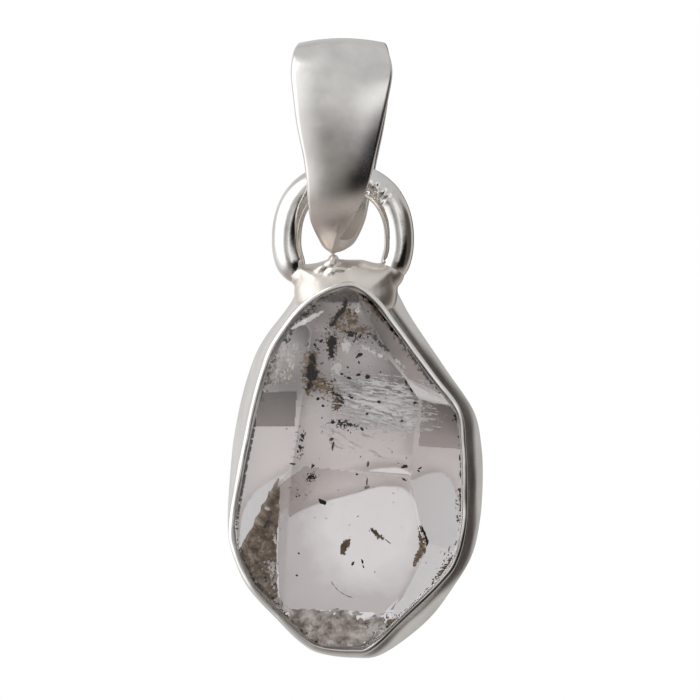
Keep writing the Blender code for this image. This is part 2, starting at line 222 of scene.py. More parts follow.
class Nodes:
    """A short way to build a material's node tree."""

    def __init__(self, name):
        self.material = bpy.data.materials.new(name)
        self.material.use_nodes = True
        self.tree = self.material.node_tree
        self.shader = self.tree.nodes["Principled BSDF"]
        self.output = self.tree.nodes["Material Output"]
        place = self.tree.nodes.new("ShaderNodeTexCoord")
        self.place = place.outputs["Object"]

    def add(self, kind, **values):
        node = self.tree.nodes.new("ShaderNode" + kind)
        for key, value in values.items():
            setattr(node, key, value)
        return node

    def link(self, source, target):
        self.tree.links.new(source, target)

    def axis(self, letter):
        """The place along X, Y or Z."""
        split = self.add("SeparateXYZ")
        self.link(self.place, split.inputs["Vector"])
        return split.outputs[letter]

    def stretch(self, scale, turn=(0.0, 0.0, 0.0)):
        mapping = self.add("Mapping")
        mapping.inputs["Scale"].default_value = scale
        mapping.inputs["Rotation"].default_value = turn
        self.link(self.place, mapping.inputs["Vector"])
        return mapping.outputs["Vector"]

    def noise(self, size, detail=4.0, rough=0.5, vector=None, warp=0.0):
        node = self.add("TexNoise")
        node.inputs["Scale"].default_value = 1 / size
        node.inputs["Detail"].default_value = detail
        node.inputs["Roughness"].default_value = rough
        node.inputs["Distortion"].default_value = warp
        self.link(vector or self.place, node.inputs["Vector"])
        return node.outputs["Fac"]

    def remap(self, value, low, high, to_low, to_high, shape="LINEAR"):
        node = self.add("MapRange", interpolation_type=shape)
        node.inputs["From Min"].default_value = low
        node.inputs["From Max"].default_value = high
        node.inputs["To Min"].default_value = to_low
        node.inputs["To Max"].default_value = to_high
        self.link(value, node.inputs["Value"])
        return node.outputs["Result"]

    def math(self, operation, a, b):
        node = self.add("Math", operation=operation)
        for socket, value in zip(node.inputs, (a, b)):
            if isinstance(value, (int, float)):
                socket.default_value = value
            else:
                self.link(value, socket)
        return node.outputs["Value"]

    def ramp(self, value, *stops):
        node = self.add("ValToRGB")
        ramp = node.color_ramp
        while len(ramp.elements) < len(stops):
            ramp.elements.new(0.5)
        for element, (position, colour) in zip(ramp.elements, stops):
            element.position = position
            element.color = (*colour, 1.0)
        self.link(value, node.inputs["Fac"])
        return node.outputs["Color"]

    def mix(self, share, colour, other):
        node = self.add("Mix", data_type="RGBA")
        self.link(share, node.inputs["Factor"])
        self.link(colour, node.inputs[6])
        node.inputs[7].default_value = (*other, 1.0)
        return node.outputs[2]

    def bump(self, height, distance, strength=1.0, under=None):
        node = self.add("Bump")
        node.inputs["Strength"].default_value = strength
        node.inputs["Distance"].default_value = distance
        self.link(height, node.inputs["Height"])
        if under is not None:
            self.link(under, node.inputs["Normal"])
        return node.outputs["Normal"]

    def set(self, **values):
        for key, value in values.items():
            socket = self.shader.inputs[key.replace("_", " ")]
            if isinstance(value, bpy.types.NodeSocket):
                self.link(value, socket)
            else:
                socket.default_value = value


def silver_material(name, rough_low, rough_high, scratch, dent, tint=(0.93, 0.92, 0.9), stain_z=None):
    """Worked silver: fine scratches, a slightly uneven surface and a faint tarnish.

    Below stain_z (from, to) it is duller and browner, as soldered silver is.
    """
    m = Nodes(name)
    cloud = m.noise(1.6 * MM, 5.0, 0.6)
    fine = m.noise(0.22 * MM, 6.0, 0.65)
    lengthwise = m.noise(0.05 * MM, 3.0, 0.6, m.stretch((1.0, 1.0, 0.06)))
    crosswise = m.noise(0.06 * MM, 3.0, 0.6, m.stretch((0.07, 1.0, 1.0), (0.0, 0.5, 0.3)))
    dull = tuple(0.84 * c for c in tint)
    colour = m.ramp(cloud, (0.3, dull), (0.62, tint))
    marks = m.math("MULTIPLY", m.math("ADD", lengthwise, crosswise), 0.5)
    rough = m.remap(m.math("ADD", m.math("MULTIPLY", cloud, 0.6), m.math("MULTIPLY", marks, 0.4)),
                    0.35, 0.65, rough_low, rough_high)
    if stain_z:
        level = m.math("ADD", m.axis("Z"), m.remap(cloud, 0.3, 0.7, -0.2 * MM, 0.2 * MM))
        stained = m.remap(level, *stain_z, 0.0, 1.0, "SMOOTHSTEP")
        rough = m.math("ADD", rough, m.math("MULTIPLY", stained, 0.22))
        colour = m.mix(stained, colour, (0.8, 0.74, 0.7))
    m.set(Base_Color=colour, Metallic=1.0, Roughness=rough)
    normal = m.bump(cloud, dent * 3, 0.6)
    normal = m.bump(fine, dent, 0.5, normal)
    m.set(Normal=m.bump(marks, scratch, 0.5, normal))
    return m.material


def plate_material():
    """Silver that is lighter below, and darker and greyer behind the crystal's upper half and towards its
    left side.
    """
    m = Nodes("silver_plate")
    bow_middle = 1.3 * MM
    bow_rise = 0.08 / MM
    darker_z = (-14.9 * MM, -14.1 * MM)
    darker_x = (-1.4 * MM, -3.0 * MM)
    wave = m.noise(1.2 * MM, 3.0, 0.5)
    fine = m.noise(0.12 * MM, 5.0, 0.7)
    side = m.math("SUBTRACT", m.axis("X"), bow_middle)
    bow = m.math("MULTIPLY", m.math("MULTIPLY", side, side), bow_rise)
    uneven = m.remap(wave, 0.3, 0.7, -0.3 * MM, 0.3 * MM)
    line = m.math("ADD", m.math("ADD", m.axis("Z"), bow), uneven)
    # Darker above a wavy line across the plate, and towards its left side
    darker_share = m.remap(line, *darker_z, 0.0, 1.0)
    patchy = m.math("MULTIPLY", darker_share, m.remap(wave, 0.3, 0.7, 0.55, 1.0))
    shade = m.math("MAXIMUM", patchy, m.remap(m.axis("X"), *darker_x, 0.0, 0.4))
    m.set(Base_Color=m.ramp(shade, (0.0, (0.95, 0.93, 0.915)), (1.0, (0.75, 0.73, 0.72))))
    m.set(Metallic=1.0, Roughness=m.remap(fine, 0.3, 0.7, 0.3, 0.45))
    m.set(Normal=m.bump(fine, 0.002 * MM, 0.5, m.bump(wave, 0.01 * MM, 0.5)))
    return m.material


def quartz_material():
    """Clear, faintly grey quartz with growth lines across its prism faces."""
    m = Nodes("quartz")
    lined_top = (-14.0 * MM, -14.6 * MM)
    lined_bottom = (-17.6 * MM, -16.9 * MM)
    middle = m.remap(m.axis("Z"), *lined_top, 0.0, 1.0)
    middle = m.math("MULTIPLY", middle, m.remap(m.axis("Z"), *lined_bottom, 0.0, 1.0))
    ridges = m.noise(0.2 * MM, 3.0, 0.55, m.stretch((0.16, 1.0, 1.0), (0.0, 0.12, 0.0)), 0.6)
    ridges = m.math("MULTIPLY", m.math("SUBTRACT", ridges, 0.5), m.math("ADD", middle, 0.1))
    pits = m.noise(0.5 * MM, 4.0, 0.6)
    m.set(Base_Color=(0.985, 0.98, 0.98, 1.0), IOR=1.544)
    m.set(Roughness=m.remap(m.noise(0.7 * MM, 4.0, 0.6), 0.35, 0.65, 0.07, 0.16))
    m.set(Transmission_Weight=1.0)
    m.set(Normal=m.bump(pits, 0.004 * MM, 0.5, m.bump(ridges, 0.03 * MM, 0.5)))
    haze = m.add("VolumeAbsorption")
    haze.inputs["Color"].default_value = (0.8, 0.775, 0.78, 1.0)
    haze.inputs["Density"].default_value = 150.0
    m.link(haze.outputs["Volume"], m.output.inputs["Volume"])
    return m.material


def inclusion_material(name, size, *colours, roughness=0.7, gloss=0.3):
    """A fine mixture of colours, from its darkest to its lightest grains."""
    m = Nodes(name)
    last = len(colours) - 1
    stops = [(0.36 + 0.28 * i / last, colour) for i, colour in enumerate(colours)]
    m.set(Base_Color=m.ramp(m.noise(size, 5.0, 0.65), *stops))
    m.set(Roughness=roughness, Specular_IOR_Level=gloss)
    m.set(Normal=m.bump(m.noise(0.4 * size, 3.0, 0.6), 0.01 * MM, 0.6))
    return m.material


def painted_shade_material():
    """Painted shade: a grey tint that clears towards the middle of the crystal's lower half."""
    m = Nodes("painted_shade")
    clear_x, reach_x = 1.1 * MM, 4.0 * MM
    clear_z, reach_z = -19.8 * MM, 4.2 * MM
    across = m.math("DIVIDE", m.math("SUBTRACT", m.axis("X"), clear_x), reach_x)
    along = m.math("DIVIDE", m.math("SUBTRACT", m.axis("Z"), clear_z), reach_z)
    far = m.math("ADD", m.math("MULTIPLY", across, across), m.math("MULTIPLY", along, along))
    uneven = m.remap(m.noise(1.0 * MM, 3.0), 0.3, 0.7, -0.05, 0.05)
    far = m.math("ADD", m.math("SQRT", far, 0.0), uneven)
    # Painted shade: darker the farther a place lies from the clear middle
    m.set(Base_Color=m.ramp(
        m.math("MULTIPLY", far, 0.8), (0.34, (0.99, 0.985, 0.98)), (0.5, (0.86, 0.84, 0.835)),
        (0.62, (0.72, 0.69, 0.685)), (0.88, (0.66, 0.63, 0.62)), (1.0, (0.6, 0.575, 0.565)),
    ))
    m.set(Roughness=0.1, IOR=1.02, Transmission_Weight=1.0)
    return m.material


# Camera, light and floor

def make_camera():
    data = bpy.data.cameras.new("camera")
    camera = bpy.data.objects.new("camera", data)
    bpy.context.scene.collection.objects.link(camera)
    data.sensor_width = SENSOR_WIDTH
    frame_width = PHOTO_PIXELS * MM_PER_PIXEL * MM
    data.lens = SENSOR_WIDTH * (CAMERA_DISTANCE + RIM_Y) / frame_width
    data.clip_start = 0.01
    data.clip_end = 10.0
    camera.location = (VIEW_CENTRE_X, -CAMERA_DISTANCE, VIEW_CENTRE_Z)
    camera.rotation_euler = (radians(90), 0.0, 0.0)
    bpy.context.scene.camera = camera


def studio_colour(tree, direction, base, panels):
    """Soft panels round the pendant: each an aim, outer and inner angles and a colour."""
    start = tree.nodes.new("ShaderNodeRGB")
    start.outputs[0].default_value = (*base, 1.0)
    colour = start.outputs[0]
    for aim, outer, inner, light in panels:
        dot = tree.nodes.new("ShaderNodeVectorMath")
        dot.operation = "DOT_PRODUCT"
        tree.links.new(direction, dot.inputs[0])
        dot.inputs[1].default_value = Vector(aim).normalized()
        edge = tree.nodes.new("ShaderNodeMapRange")
        edge.interpolation_type = "SMOOTHSTEP"
        edge.inputs["From Min"].default_value = cos(radians(outer))
        edge.inputs["From Max"].default_value = cos(radians(inner))
        tree.links.new(dot.outputs["Value"], edge.inputs["Value"])
        mix = tree.nodes.new("ShaderNodeMix")
        mix.data_type = "RGBA"
        tree.links.new(edge.outputs["Result"], mix.inputs["Factor"])
        tree.links.new(colour, mix.inputs[6])
        mix.inputs[7].default_value = (*light, 1.0)
        colour = mix.outputs[2]
    background = tree.nodes.new("ShaderNodeBackground")
    tree.links.new(colour, background.inputs["Color"])
    return background.outputs[0]


def make_world():
    """A white room: metal mirrors its dark side, and the crystal passes its white back."""
    world = bpy.data.worlds.new("studio")
    bpy.context.scene.world = world
    world.use_nodes = True
    tree = world.node_tree
    tree.nodes.clear()
    direction = tree.nodes.new("ShaderNodeTexCoord").outputs["Generated"]
    mirrored = studio_colour(tree, direction, (0.52, 0.505, 0.49), (
        ((0.63, -0.7, -0.34), 85, 10, (0.12, 0.105, 0.095)),
        ((0.25, -0.77, 0.58), 50, 34, (0.56, 0.55, 0.54)),
        ((0.46, -0.87, 0.12), 23, 10, (1.0, 0.99, 0.98)),
        ((0.65, -0.68, -0.35), 37, 16, (0.008, 0.007, 0.007)),
        ((-0.95, -0.32, 0.12), 62, 34, (0.86, 0.85, 0.84)),
        ((1, -0.05, 0), 30, 15, (0.09, 0.075, 0.065)),
        ((-0.5, 0.86, 0), 42, 26, (0.68, 0.665, 0.65)),
        ((0.31, 0.95, 0), 24, 13, (0.06, 0.05, 0.045)),
        ((0, 0, -1), 62, 34, (0.41, 0.365, 0.34)),
        ((0, -0.2, 1), 70, 40, (0.58, 0.575, 0.57)),
        ((-0.88, -0.43, 0.3), 50, 28, (1.35, 1.34, 1.32)),
    ))
    passed = studio_colour(tree, direction, (1.06, 1.05, 1.04), (
        ((0, 0, -1), 70, 40, (0.58, 0.53, 0.49)),
        ((0, 1, 0.1), 70, 40, (0.8, 0.79, 0.795)),
        ((0.41, 0.91, 0), 22, 12, (0.58, 0.57, 0.575)),
        ((-0.41, 0.91, 0), 27, 14, (0.62, 0.61, 0.615)),
    ))
    paper = tree.nodes.new("ShaderNodeBackground")
    paper.inputs["Color"].default_value = (1.0, 1.0, 1.0, 1.0)
    rays = tree.nodes.new("ShaderNodeLightPath")
    shown = mirrored
    for ray, source in (("Is Transmission Ray", passed), ("Is Camera Ray", paper.outputs[0])):
        choose = tree.nodes.new("ShaderNodeMixShader")
        tree.links.new(rays.outputs[ray], choose.inputs["Fac"])
        tree.links.new(shown, choose.inputs[1])
        tree.links.new(source, choose.inputs[2])
        shown = choose.outputs[0]
    output = tree.nodes.new("ShaderNodeOutputWorld")
    tree.links.new(shown, output.inputs["Surface"])


def make_softbox(name, place, aim, size, power):
    data = bpy.data.lights.new(name, "AREA")
    data.shape = "RECTANGLE"
    data.size = size[0]
    data.size_y = size[1]
    data.energy = power
    lamp = bpy.data.objects.new(name, data)
    bpy.context.scene.collection.objects.link(lamp)
    lamp.location = place
    lamp.rotation_euler = (Vector(aim) - Vector(place)).to_track_quat("-Z", "Y").to_euler()


def make_floor():
    """A round pale floor well below the pendant."""
    bm = bmesh.new()
    bmesh.ops.create_circle(bm, cap_ends=True, segments=96, radius=0.5)
    mesh = bpy.data.meshes.new("floor")
    bm.to_mesh(mesh)
    bm.free()
    m = Nodes("floor_paper")
    m.set(Base_Color=m.ramp(m.noise(0.03), (0.4, (0.9, 0.9, 0.9)), (0.6, (0.93, 0.93, 0.93))))
    m.set(Roughness=0.9, Emission_Color=(1.0, 1.0, 1.0, 1.0), Emission_Strength=0.45)
    mesh.materials.append(m.material)
    floor = bpy.data.objects.new("floor", mesh)
    bpy.context.scene.collection.objects.link(floor)
    floor.location = (0.0, 0.0, -0.06)
    floor.visible_glossy = False
    floor.visible_transmission = False


def set_picture():
    scene = bpy.context.scene
    scene.view_settings.view_transform = "Standard"
    scene.cycles.use_denoising = True
    scene.cycles.max_bounces = 24
    scene.cycles.transmission_bounces = 20
    scene.cycles.glossy_bounces = 8
    scene.cycles.transparent_max_bounces = 12
    scene.cycles.caustics_refractive = True
    scene.cycles.caustics_reflective = True


# Silver pieces

def make_bail():
    """One band folded into a loop, domed across, with round edges and a soldered tip."""
    stations = 300
    across = 48
    curl_start, curl_width = 0.93, 0.07
    seam_top, seam_fade = -7.1 * MM, 0.35 * MM
    seam_x, seam_z, seam_slope = -0.24 * MM, -7.2 * MM, 0.24
    seam_width, seam_lift = 0.11 * MM, 0.08 * MM
    stain_z = (-6.3 * MM, -7.5 * MM)
    rings = []
    step = len(BAIL_LOOP) / stations
    for i in range(stations):
        y, z, left, right = curve_point(BAIL_LOOP, i * step) * MM
        ahead = curve_point(BAIL_LOOP, i * step + step)
        behind = curve_point(BAIL_LOOP, i * step + len(BAIL_LOOP) - step)
        along = Vector((ahead[0] - behind[0], ahead[1] - behind[1])).normalized()
        out = Vector((0.0, -along.y, along.x))
        outer = []
        inner = []
        for k in range(across + 1):
            u = sin(pi / 2 * (-1 + 2 * k / across))
            x = (left + right) / 2 + u * (right - left) / 2
            full = BAIL_EDGE_THICKNESS + (BAIL_THICKNESS - BAIL_EDGE_THICKNESS) * (1 - u * u)
            curl = max(0.0, (abs(u) - curl_start) / curl_width)
            half = 0.5 * full * sqrt(max(0.01, 1 - curl * curl))
            middle = Vector((x, y, z)) + (0.5 * full - BAIL_THICKNESS / 2) * out
            fade = max(0.0, min(1.0, (seam_top - z) / seam_fade))
            seam = fade * exp(-((x - seam_x - seam_slope * (z - seam_z)) / seam_width) ** 2)
            lift = seam_lift * seam if y < 0 else 0.0
            shift = wobble(middle, 2.2 * MM, 0.01 * MM, 4.0)
            outer.append(middle + (half + lift) * out + shift)
            inner.append(middle - half * out + shift)
        rings.append(outer + inner[::-1])
    bm = bridge(rings, closed=True)
    silver = silver_material("silver_bail", 0.16, 0.26, 0.0006 * MM, 0.0012 * MM, stain_z=stain_z)
    bail = add_piece("bail_band", bm, silver, "hanger", sharp=70)
    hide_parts("bail")


def ring_middle(angle):
    """A point of the wire's middle line: a circle below, drawn out and squarer above."""
    if sin(angle) <= 0:
        x, z = RING_RADIUS * cos(angle), RING_RADIUS * sin(angle)
    else:
        part = abs(cos(angle)) ** RING_SQUARENESS + sin(angle) ** RING_SQUARENESS
        reach = part ** (-1 / RING_SQUARENESS)
        x, z = RING_RADIUS * reach * cos(angle), RING_RISE * reach * sin(angle)
    return Vector((RING_CENTRE_X + x, 0.0, RING_CENTRE_Z + z))


def make_ring():
    """The wire's arc, a little uneven, with plier marks at its upper right."""
    steps = 340
    sides = 64
    sweep = pi + 2 * RING_END_ANGLE
    step = sweep / steps
    melt_steps, melt_share = 26, 0.42
    bite = from_photo(*PLIER_MARKS, -0.5 * MM)
    bite_reach, bite_grain = 0.5 * MM, 0.26 * MM
    bite_rough, bite_depth = 0.055 * MM, 0.04 * MM
    rings = []
    for i in range(steps + 1):
        angle = i * step - RING_END_ANGLE
        centre = ring_middle(angle)
        along = (ring_middle(angle + step / 2) - ring_middle(angle - step / 2)).normalized()
        outward = Vector((along.z, 0.0, -along.x))
        melted = max(0.0, 1 - min(i, steps - i) / melt_steps)
        wire = RING_WIRE_RADIUS * (1 - melt_share * melted ** 2)
        ring = []
        for k in range(sides):
            turn = 2 * pi * k / sides
            side = cos(turn) * outward + sin(turn) * Vector((0, 1, 0))
            point = centre + wire * side
            near = exp(-((point - bite).length / bite_reach) ** 2)
            rough = noise.fractal(point / bite_grain, 1.0, 2.0, 2) * bite_rough * near
            point += (rough - bite_depth * near) * side
            point += wobble(point, 0.9 * MM, 0.014 * MM, 9.0)
            ring.append(point)
        rings.append(ring)
    bm = bridge(rings, closed=False)
    silver = silver_material("silver_ring", 0.06, 0.15, 0.001 * MM, 0.006 * MM)
    ring = add_piece("ring_wire", bm, silver, "pendant", sharp=70)
    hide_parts("jump_ring")


def make_wall():
    """The strip round the crystal, steep at its burnished rim and flared at its foot."""
    steps = 420
    levels = 22
    lip_steps = 12
    lip_fall, lip_height = 0.06 * MM, 0.12 * MM
    lip_flatness, lip_slope = 0.45, 0.25
    edge = closed_curve(EDGE_OUTLINE, steps)
    foot = closed_curve(FOOT_OUTLINE, steps)
    pocket = grow(edge, SEAT_GAP)
    back = FRAME_FRONT_Y - 0.02 * MM
    uneven = [noise.noise(Vector((p.x, 3.0, p.y)) / (1.1 * MM)) for p in edge]
    thin = [0.5 + 0.5 * noise.noise(Vector((p.x, 8.0, p.y)) / (2.0 * MM)) for p in edge]
    thickness = [WALL_THICKNESS * (0.98 + 0.28 * t) for t in thin]
    normals = [(a - b).normalized() for a, b in zip(grow(edge, MM), edge)]
    lip = [RIM_Y + 0.05 * MM * u for u in uneven]
    rings = []
    for level in range(levels + 1):
        t = 1 - level / levels
        ring = []
        for p, n, f, w, top in zip(pocket, normals, foot, thickness, lip):
            at = (p + w * n).lerp(f, t ** FLARE_POWER)
            y = top + t * (back - top) + (lip_fall + lip_slope * w if t == 0 else 0.0)
            point = Vector((at.x, y, at.y))
            point += wobble(point, 1.3 * MM, 0.016 * MM * min(1.0, 3 * t), 2.0)
            ring.append(point)
        rings.append(ring)
    for k in range(1, lip_steps):
        turn = pi * k / lip_steps
        ring = []
        for p, n, w, top in zip(pocket, normals, thickness, lip):
            out = 0.5 + 0.5 * cos(turn)
            at = p + w * out * n
            y = top + lip_fall - lip_height * sin(turn) ** lip_flatness + lip_slope * w * out
            ring.append(Vector((at.x, y, at.y)))
        rings.append(ring)
    for level in range(levels + 1):
        t = level / levels
        rings.append([Vector((p.x, top + lip_fall + t * (back - top - lip_fall), p.y))
                      for p, top in zip(pocket, lip)])
    bm = bridge(rings, closed=True)
    silver = silver_material("silver_wall", 0.1, 0.22, 0.001 * MM, 0.003 * MM)
    wall = add_piece("wall_strip", bm, silver, "pendant", sharp=60)
    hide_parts("bezel_wall")


def make_frame():
    """The back plate with a window and soft edges."""
    steps = 420
    foot = closed_curve(FOOT_OUTLINE, steps)
    window = closed_curve(WINDOW_OUTLINE, steps)
    rounded = 0.14 * MM
    dish_width, dish_depth = 0.75 * MM, 0.22 * MM
    quarter = [pi / 2 * k / 6 for k in range(7)]
    falling = [rounded * (1 - sin(turn)) for turn in quarter]
    rising = [rounded * (1 - cos(turn)) for turn in quarter]
    rings = []
    for inset, sunk in zip(falling, rising):
        rings.append(at_depth(grow(foot, -inset), FRAME_FRONT_Y + sunk))
    for sunk, inset in zip(falling, rising):
        rings.append(at_depth(grow(foot, -inset), FRAME_BACK_Y - sunk))
    for inset, sunk in zip(falling, rising):
        rings.append(at_depth(grow(window, inset), FRAME_BACK_Y - sunk))
    for k in range(9):
        dish = 1 - k / 8
        rings.append(at_depth(grow(window, dish_width * (1 - dish)), FRAME_FRONT_Y + dish_depth * dish ** 2))
    bm = bridge(rings, closed=True)
    plate = add_piece("frame_plate", bm, plate_material(), "pendant", sharp=50)
    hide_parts("back_frame")


def add_blob(bm, centre, radii, tilt):
    """An oval bead with radii in millimetres, tilted as seen from the front."""
    made = bmesh.ops.create_icosphere(bm, subdivisions=3, radius=1.0)
    for vert in made["verts"]:
        point = Vector((vert.co.x * radii[0], vert.co.y * radii[1], vert.co.z * radii[2]))
        turned = Vector((point.x * cos(tilt) - point.z * sin(tilt), point.y,
                         point.x * sin(tilt) + point.z * cos(tilt)))
        vert.co = centre + turned * MM


def make_neck():
    """Solder: one lump with smaller beads, melted together and smoothed."""
    outline = closed_curve(NECK_OUTLINE, 96)
    rings = []
    for level in range(-8, 9):
        turn = radians(80) * level / 8
        depth = NECK_FRONT_DEPTH if level < 0 else NECK_BACK_DEPTH
        scale = cos(turn) ** 0.6
        rings.append(at_depth([NECK_MIDDLE + scale * (p - NECK_MIDDLE) for p in outline], depth * sin(turn)))
    bm = bridge(rings, closed=False)
    # Each bead: its pixel, its y and radii in millimetres, and its tilt
    beads = (
        (333.5, 260, -0.64, (0.24, 0.36, 0.26), 0.2), (331, 264, -0.78, (0.3, 0.3, 0.24), 0.2),
        (322, 268, -0.8, (0.32, 0.22, 0.17), 0.5),
        (340, 269, -0.9, (0.34, 0.2, 0.14), -0.2), (350, 270, -0.84, (0.22, 0.2, 0.17), 0.3),
        (313, 276, -0.72, (0.3, 0.22, 0.13), 0.7), (331, 272, -0.96, (0.24, 0.16, 0.12), 0.3),
        (364, 274, -0.78, (0.34, 0.2, 0.14), -0.5), (302, 276, 0.0, (0.56, 0.62, 0.52), -0.8),
        (389, 275, 0.0, (0.7, 0.66, 0.62), 0.8), (310, 283, -0.42, (0.46, 0.3, 0.28), -0.4),
        (378, 282, -0.42, (0.5, 0.3, 0.3), 0.4),
    )
    for px, py, y, radii, tilt in beads:
        add_blob(bm, from_photo(px, py, y * MM), radii, tilt)
    silver = silver_material("silver_neck", 0.26, 0.42, 0.0012 * MM, 0.006 * MM, (0.88, 0.83, 0.78))
    neck = add_piece("neck_solder", bm, silver, "pendant", sharp=180)
    remesh = neck.modifiers.new("melt", "REMESH")
    remesh.mode = "VOXEL"
    remesh.voxel_size = 0.055 * MM
    remesh.use_smooth_shade = True
    relax = neck.modifiers.new("relax", "SMOOTH")
    relax.factor = 0.5
    relax.iterations = 13
    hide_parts("neck")


# Crystal

def crystal_faces():
    """The solid's flat faces as one polygon each."""
    bm = bmesh.new()
    bm.from_mesh(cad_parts["herkimer_crystal"].data)
    bmesh.ops.remove_doubles(bm, verts=bm.verts[:], dist=0.0005 * MM)
    bmesh.ops.dissolve_limit(bm, angle_limit=radians(0.5), verts=bm.verts[:], edges=bm.edges[:])
    return bm


def make_crystal():
    """The faces with soft edges, and a splintered break at the lower end."""
    bm = crystal_faces()
    bmesh.ops.bevel(bm, geom=bm.edges[:], offset=0.03 * MM, segments=1, affect="EDGES", profile=0.5)
    break_top = -24.1 * MM
    low = [f for f in bm.faces if f.calc_center_median().z < break_top and f.normal.y < -0.3]
    broken = max(low, key=lambda face: face.calc_area())
    rim = set(broken.verts)
    poked = bmesh.ops.poke(bm, faces=[broken])["faces"]
    for _ in range(5):
        inner = {edge for face in poked for edge in face.edges if not set(edge.verts) <= rim}
        made = bmesh.ops.subdivide_edges(bm, edges=list(inner), cuts=1, use_grid_fill=True)
        poked = list({face for part in made["geom_inner"] for face in getattr(part, "link_faces", ())})
    chipped = {vert for face in poked for vert in face.verts} - rim
    for vert in chipped:
        if all(face in poked or len(face.verts) < 5 for face in vert.link_faces):
            depth = noise.cell(vert.co / (0.3 * MM)) + 0.6 * noise.noise(vert.co / (0.16 * MM))
            vert.co.y += 0.05 * MM * abs(depth)
    crystal = add_piece("crystal_clear", bm, quartz_material(), "pendant", smooth=False)
    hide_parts("herkimer_crystal")


class Inclusions:
    """Small closed bodies and thin films under the crystal's front faces, in one mesh.

    Places and sizes are pixels of the photograph, depths are millimetres under the face.
    """

    def __init__(self, seed):
        bm = crystal_faces()
        self.crystal = BVHTree.FromBMesh(bm)
        bm.free()
        self.random = random.Random(seed)
        self.verts = []
        self.faces = []
        ball = bmesh.new()
        bmesh.ops.create_icosphere(ball, subdivisions=2, radius=1.0)
        self.ball_verts = [vert.co.copy() for vert in ball.verts]
        self.ball_faces = [[vert.index for vert in face.verts] for face in ball.faces]
        ball.free()

    def new_seed(self):
        """A random place in the noise."""
        return self.random.random() * 50

    def place(self, px, py, depth):
        """The place at a depth under the front face at a pixel, or None beside the crystal."""
        y = RIM_Y
        for _ in range(2):
            point = from_photo(px, py, y)
            hit = self.crystal.ray_cast(Vector((point.x, -20 * MM, point.z)), Vector((0, 1, 0)))
            if hit[0] is None:
                return None
            y = hit[0].y + depth * MM
        return from_photo(px, py, y)

    def speck(self, px, py, long, wide, turn=0.0, depth=0.25, thick=0.5, rough=0.45):
        """One lumpy grain. Thick is its depth as a share of its width."""
        centre = self.place(px, py, depth)
        if centre is None:
            return
        half = 0.5 * MM_PER_PIXEL * MM
        size = Vector((long, thick * wide, wide)) * half
        angle = radians(turn)
        seed = self.new_seed()
        start = len(self.verts)
        for co in self.ball_verts:
            lump = 1 + rough * noise.noise(co * 1.7 + Vector((seed, -seed, 2 * seed)))
            x, away, z = co.x * size.x, co.y * size.y, co.z * size.z
            turned = Vector((x * cos(angle) - z * sin(angle), away, x * sin(angle) + z * cos(angle)))
            self.verts.append(centre + lump * turned)
        self.faces += [[start + i for i in face] for face in self.ball_faces]

    def specks(self, depth, *rows):
        for px, py, long, wide, turn in rows:
            self.speck(px, py, long, wide, turn, depth)

    def scatter(self, px, py, spread_x, spread_y, count, small, large, depth=0.25, deep=1.0):
        """Random specks round a pixel, thinning out with distance."""
        pick = self.random
        for _ in range(count):
            size = small + (large - small) * pick.random() ** 3
            self.speck(
                pick.gauss(px, spread_x), pick.gauss(py, spread_y), size * pick.uniform(1.0, 1.8), size,
                pick.uniform(0, 180), depth + (deep - depth) * pick.random(), 0.6, 0.6,
            )

    def sheet(self, cells, pixel, depth, wave, seed):
        """A thin closed sheet over grid cells whose corners lie at pixel(i, j)."""
        front, back = {}, {}
        thickness = Vector((0.0, SHEET_THICKNESS * MM, 0.0))

        def corner(i, j):
            if (i, j) not in front:
                px, py = pixel(i, j)
                deeper = wave * noise.noise(Vector((px, py, seed)) / 9)
                point = self.place(px, py, max(0.06, depth + deeper))
                if point is None:
                    return False
                front[i, j] = len(self.verts)
                back[i, j] = len(self.verts) + 1
                self.verts += [point, point + thickness]
            return True

        kept = set()
        for i, j in sorted(cells):
            square = [(i + a, j + b) for a in (0, 1) for b in (0, 1)]
            if all([corner(*place) for place in square]):
                depths = [self.verts[front[place]].y for place in square]
                if max(depths) - min(depths) < STEEPEST * MM:
                    kept.add((i, j))
        for i, j in sorted(kept):
            loop = [(i, j), (i + 1, j), (i + 1, j + 1), (i, j + 1)]
            self.faces.append([front[c] for c in loop])
            self.faces.append([back[c] for c in reversed(loop)])
            beside = [(i, j - 1), (i + 1, j), (i, j + 1), (i - 1, j)]
            for k in range(4):
                if beside[k] not in kept:
                    a, b = loop[k], loop[(k + 1) % 4]
                    self.faces.append([front[b], front[a], back[a], back[b]])

    def film(
        self, *spots, depth=0.25, ragged=0.5, grain=2.5, level=0.25, stretch=1.0, turn=0.0,
        step=0.6, wave=0.0,
    ):
        """A ragged sheet where the spots' field and a noise add up to enough.

        A spot is (px, py, half length, half width, turn), or a list of corners.
        """
        seed = self.new_seed()
        corners = []
        for spot in spots:
            if isinstance(spot, list):
                corners += spot
            else:
                reach = spot[2] * 1.5
                corners += [(spot[0] - reach, spot[1] - reach), (spot[0] + reach, spot[1] + reach)]
        low_x, low_y = (min(c[k] for c in corners) for k in (0, 1))
        high_x, high_y = (max(c[k] for c in corners) for k in (0, 1))
        lean = radians(turn)
        cells = set()
        for i in range(int((high_x - low_x) / step) + 1):
            for j in range(int((high_y - low_y) / step) + 1):
                px, py = low_x + (i + 0.5) * step, low_y + (j + 0.5) * step
                field = max(field_of(spot, px, py) for spot in spots)
                if field < -0.5:
                    continue
                along = (px * cos(lean) - py * sin(lean)) / stretch
                across = px * sin(lean) + py * cos(lean)
                grainy = noise.fractal(Vector((along, across, seed)) / grain, 1.0, 2.0, 3)
                if field + ragged * grainy > level:
                    cells.add((i, j))
        self.sheet(cells, lambda i, j: (low_x + i * step, low_y + j * step), depth, wave, seed)

    def flake(self, corners, ragged=0.3, level=0.0):
        """A film with a clear outline."""
        self.film(corners, ragged=ragged, level=level, step=0.4)

